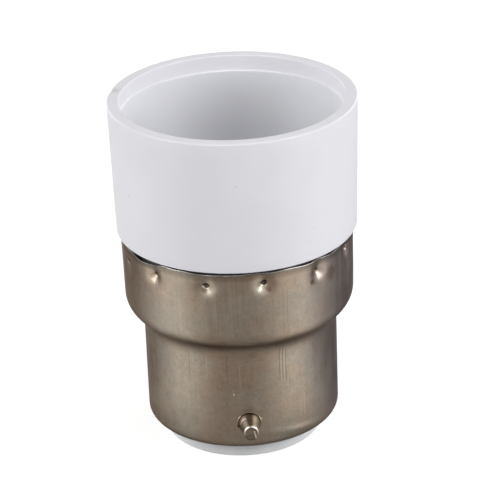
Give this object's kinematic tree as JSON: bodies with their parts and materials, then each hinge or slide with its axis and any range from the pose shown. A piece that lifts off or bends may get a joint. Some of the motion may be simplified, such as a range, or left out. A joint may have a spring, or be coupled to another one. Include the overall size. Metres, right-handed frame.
{
  "type": "lamp socket adapter",
  "caption": "Lamp adapter with a pinned bayonet cap below and a white moulded cup above that seats a threaded shell and a spring contact for a small screw lamp.",
  "frame": {"origin": "on the adapter's axis, at the face of the insulator that it stands on", "axes": "+Z along the axis, from the bayonet cap to the cup's mouth; -Y towards the front bayonet pin"},
  "size_m": [0.0276, 0.0276, 0.0405],
  "materials": {
    "white_plastic": "moulded white thermosetting plastic, half gloss",
    "nickel_plate": "drawn sheet, nickel plated, fine drawing lines",
    "pin_plate": "nickel-plated brass",
    "insulator": "moulded pale insulator",
    "contact_brass": "stamped brass",
    "solder": "tin solder",
    "shell_plate": "rolled sheet, nickel plated",
    "spring_bronze": "phosphor bronze strip",
    "rivet_brass": "brass",
    "wire_copper": "bare copper",
    "wire_insulation": "plain insulation"
  },
  "bodies": {
    "adapter": {"socket_body": "white_plastic", "cap_shell": "nickel_plate", "bayonet_pin_front": "pin_plate", "bayonet_pin_rear": "pin_plate", "base_insulator": "insulator", "base_contact_left": "contact_brass", "base_contact_right": "contact_brass", "base_solder_left": "solder", "base_solder_right": "solder", "screw_shell": "shell_plate", "centre_rivet": "rivet_brass", "shell_rivet": "rivet_brass", "centre_solder": "solder", "shell_solder": "solder", "centre_wire_core": "wire_copper", "shell_wire_core": "wire_copper", "centre_wire_sleeve": "wire_insulation", "shell_wire_sleeve": "wire_insulation"},
    "contact_strip": {"centre_contact": "spring_bronze"}
  },
  "joints": [
    {"name": "contact_flex", "type": "hinge", "parent": "adapter", "child": "contact_strip", "pos_m": [-0.0039, 0, 0.01315], "axis": [0, 1, 0], "range_deg": [0, 9], "stiffness_Nm_per_rad": 0.05}
  ]
}
